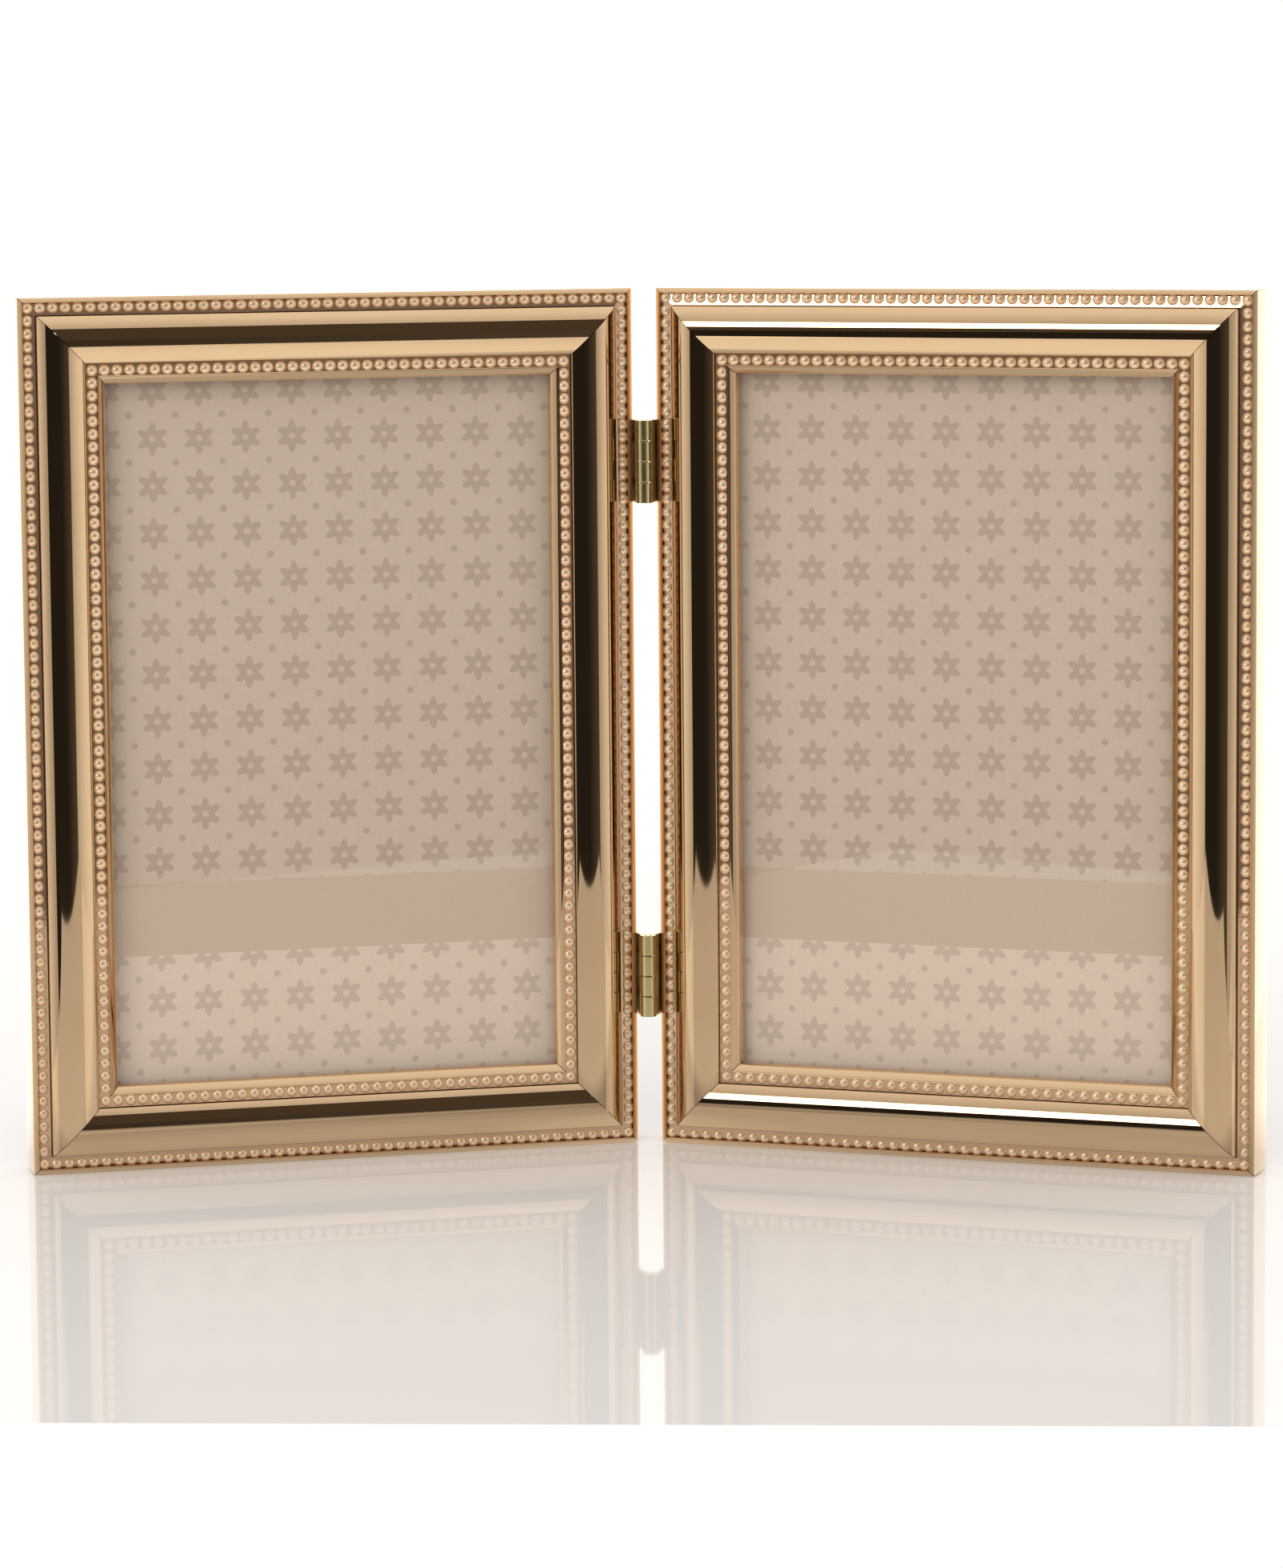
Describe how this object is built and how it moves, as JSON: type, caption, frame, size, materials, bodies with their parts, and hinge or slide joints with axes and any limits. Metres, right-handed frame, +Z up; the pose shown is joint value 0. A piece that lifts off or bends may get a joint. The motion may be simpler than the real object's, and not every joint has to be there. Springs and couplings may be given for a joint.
{
  "type": "double photo frame",
  "caption": "Free-standing double photo frame: two upright gold-plated metal frames with beaded, mitred mouldings, glazed, hinged together to open in a V or close face to face like a book.",
  "frame": {"origin": "middle of the footprint's box, on the surface that the frame stands on", "axes": "+Z up, along the hinge pins; the pictures face -Y; +X to the viewer's right across both frames"},
  "size_m": [0.253, 0.05, 0.1778],
  "materials": {
    "gold_plate": "polished champagne-gold plate",
    "hinge_brass": "bare drawn brass",
    "glazing": "clear picture glass",
    "print_paper": "matt printed insert",
    "card": "grey filler card",
    "board": "pressed fibre board",
    "velvet": "black velvet"
  },
  "bodies": {
    "left_frame": {"left_bottom_rail": "gold_plate", "left_top_rail": "gold_plate", "left_outer_rail": "gold_plate", "left_hinge_rail": "gold_plate", "left_outer_pearl_wire": "gold_plate", "left_inner_pearl_wire": "gold_plate", "left_glass": "glazing", "left_insert_print": "print_paper", "left_filler_card": "card", "left_back_board": "board", "left_back_velvet": "velvet", "left_bottom_button_rivet": "hinge_brass", "left_top_button_rivet": "hinge_brass", "left_outer_button_rivet": "hinge_brass", "left_hinge_button_rivet": "hinge_brass", "upper_hinge_left_leaf": "hinge_brass", "upper_hinge_left_rivet_1": "hinge_brass", "upper_hinge_left_rivet_2": "hinge_brass", "upper_hinge_pin": "hinge_brass", "lower_hinge_left_leaf": "hinge_brass", "lower_hinge_left_rivet_1": "hinge_brass", "lower_hinge_left_rivet_2": "hinge_brass", "lower_hinge_pin": "hinge_brass"},
    "right_frame": {"right_bottom_rail": "gold_plate", "right_top_rail": "gold_plate", "right_outer_rail": "gold_plate", "right_hinge_rail": "gold_plate", "right_outer_pearl_wire": "gold_plate", "right_inner_pearl_wire": "gold_plate", "right_glass": "glazing", "right_insert_print": "print_paper", "right_filler_card": "card", "right_back_board": "board", "right_back_velvet": "velvet", "right_bottom_button_rivet": "hinge_brass", "right_top_button_rivet": "hinge_brass", "right_outer_button_rivet": "hinge_brass", "right_hinge_button_rivet": "hinge_brass", "upper_hinge_right_leaf": "hinge_brass", "upper_hinge_right_rivet_1": "hinge_brass", "upper_hinge_right_rivet_2": "hinge_brass", "lower_hinge_right_leaf": "hinge_brass", "lower_hinge_right_rivet_1": "hinge_brass", "lower_hinge_right_rivet_2": "hinge_brass"},
    "left_bottom_button": {"left_bottom_turn_button": "hinge_brass"},
    "left_top_button": {"left_top_turn_button": "hinge_brass"},
    "left_outer_button": {"left_outer_turn_button": "hinge_brass"},
    "left_hinge_button": {"left_hinge_turn_button": "hinge_brass"},
    "right_bottom_button": {"right_bottom_turn_button": "hinge_brass"},
    "right_top_button": {"right_top_turn_button": "hinge_brass"},
    "right_outer_button": {"right_outer_turn_button": "hinge_brass"},
    "right_hinge_button": {"right_hinge_turn_button": "hinge_brass"}
  },
  "joints": [
    {"name": "fold", "type": "hinge", "parent": "left_frame", "child": "right_frame", "pos_m": [0, 0.01145, 0.0889], "axis": [0, 0, 1], "range_deg": [-144.54, 40]},
    {"name": "left_bottom_button_turn", "type": "hinge", "parent": "left_frame", "child": "left_bottom_button", "pos_m": [-0.06613, 0.00485, 0.0037], "axis": [-0.3045, 0.9525, 0], "range_deg": [-90, 90]},
    {"name": "left_top_button_turn", "type": "hinge", "parent": "left_frame", "child": "left_top_button", "pos_m": [-0.06613, 0.00485, 0.1741], "axis": [-0.3045, 0.9525, 0], "range_deg": [-90, 90]},
    {"name": "left_outer_button_turn", "type": "hinge", "parent": "left_frame", "child": "left_outer_button", "pos_m": [-0.12309, -0.01336, 0.0889], "axis": [-0.3045, 0.9525, 0], "range_deg": [-90, 90]},
    {"name": "left_hinge_button_turn", "type": "hinge", "parent": "left_frame", "child": "left_hinge_button", "pos_m": [-0.00917, 0.02306, 0.0889], "axis": [-0.3045, 0.9525, 0], "range_deg": [-90, 90]},
    {"name": "right_bottom_button_turn", "type": "hinge", "parent": "right_frame", "child": "right_bottom_button", "pos_m": [0.06613, 0.00485, 0.0037], "axis": [0.3045, 0.9525, 0], "range_deg": [-90, 90]},
    {"name": "right_top_button_turn", "type": "hinge", "parent": "right_frame", "child": "right_top_button", "pos_m": [0.06613, 0.00485, 0.1741], "axis": [0.3045, 0.9525, 0], "range_deg": [-90, 90]},
    {"name": "right_outer_button_turn", "type": "hinge", "parent": "right_frame", "child": "right_outer_button", "pos_m": [0.12309, -0.01336, 0.0889], "axis": [0.3045, 0.9525, 0], "range_deg": [-90, 90]},
    {"name": "right_hinge_button_turn", "type": "hinge", "parent": "right_frame", "child": "right_hinge_button", "pos_m": [0.00917, 0.02306, 0.0889], "axis": [0.3045, 0.9525, 0], "range_deg": [-90, 90]}
  ]
}
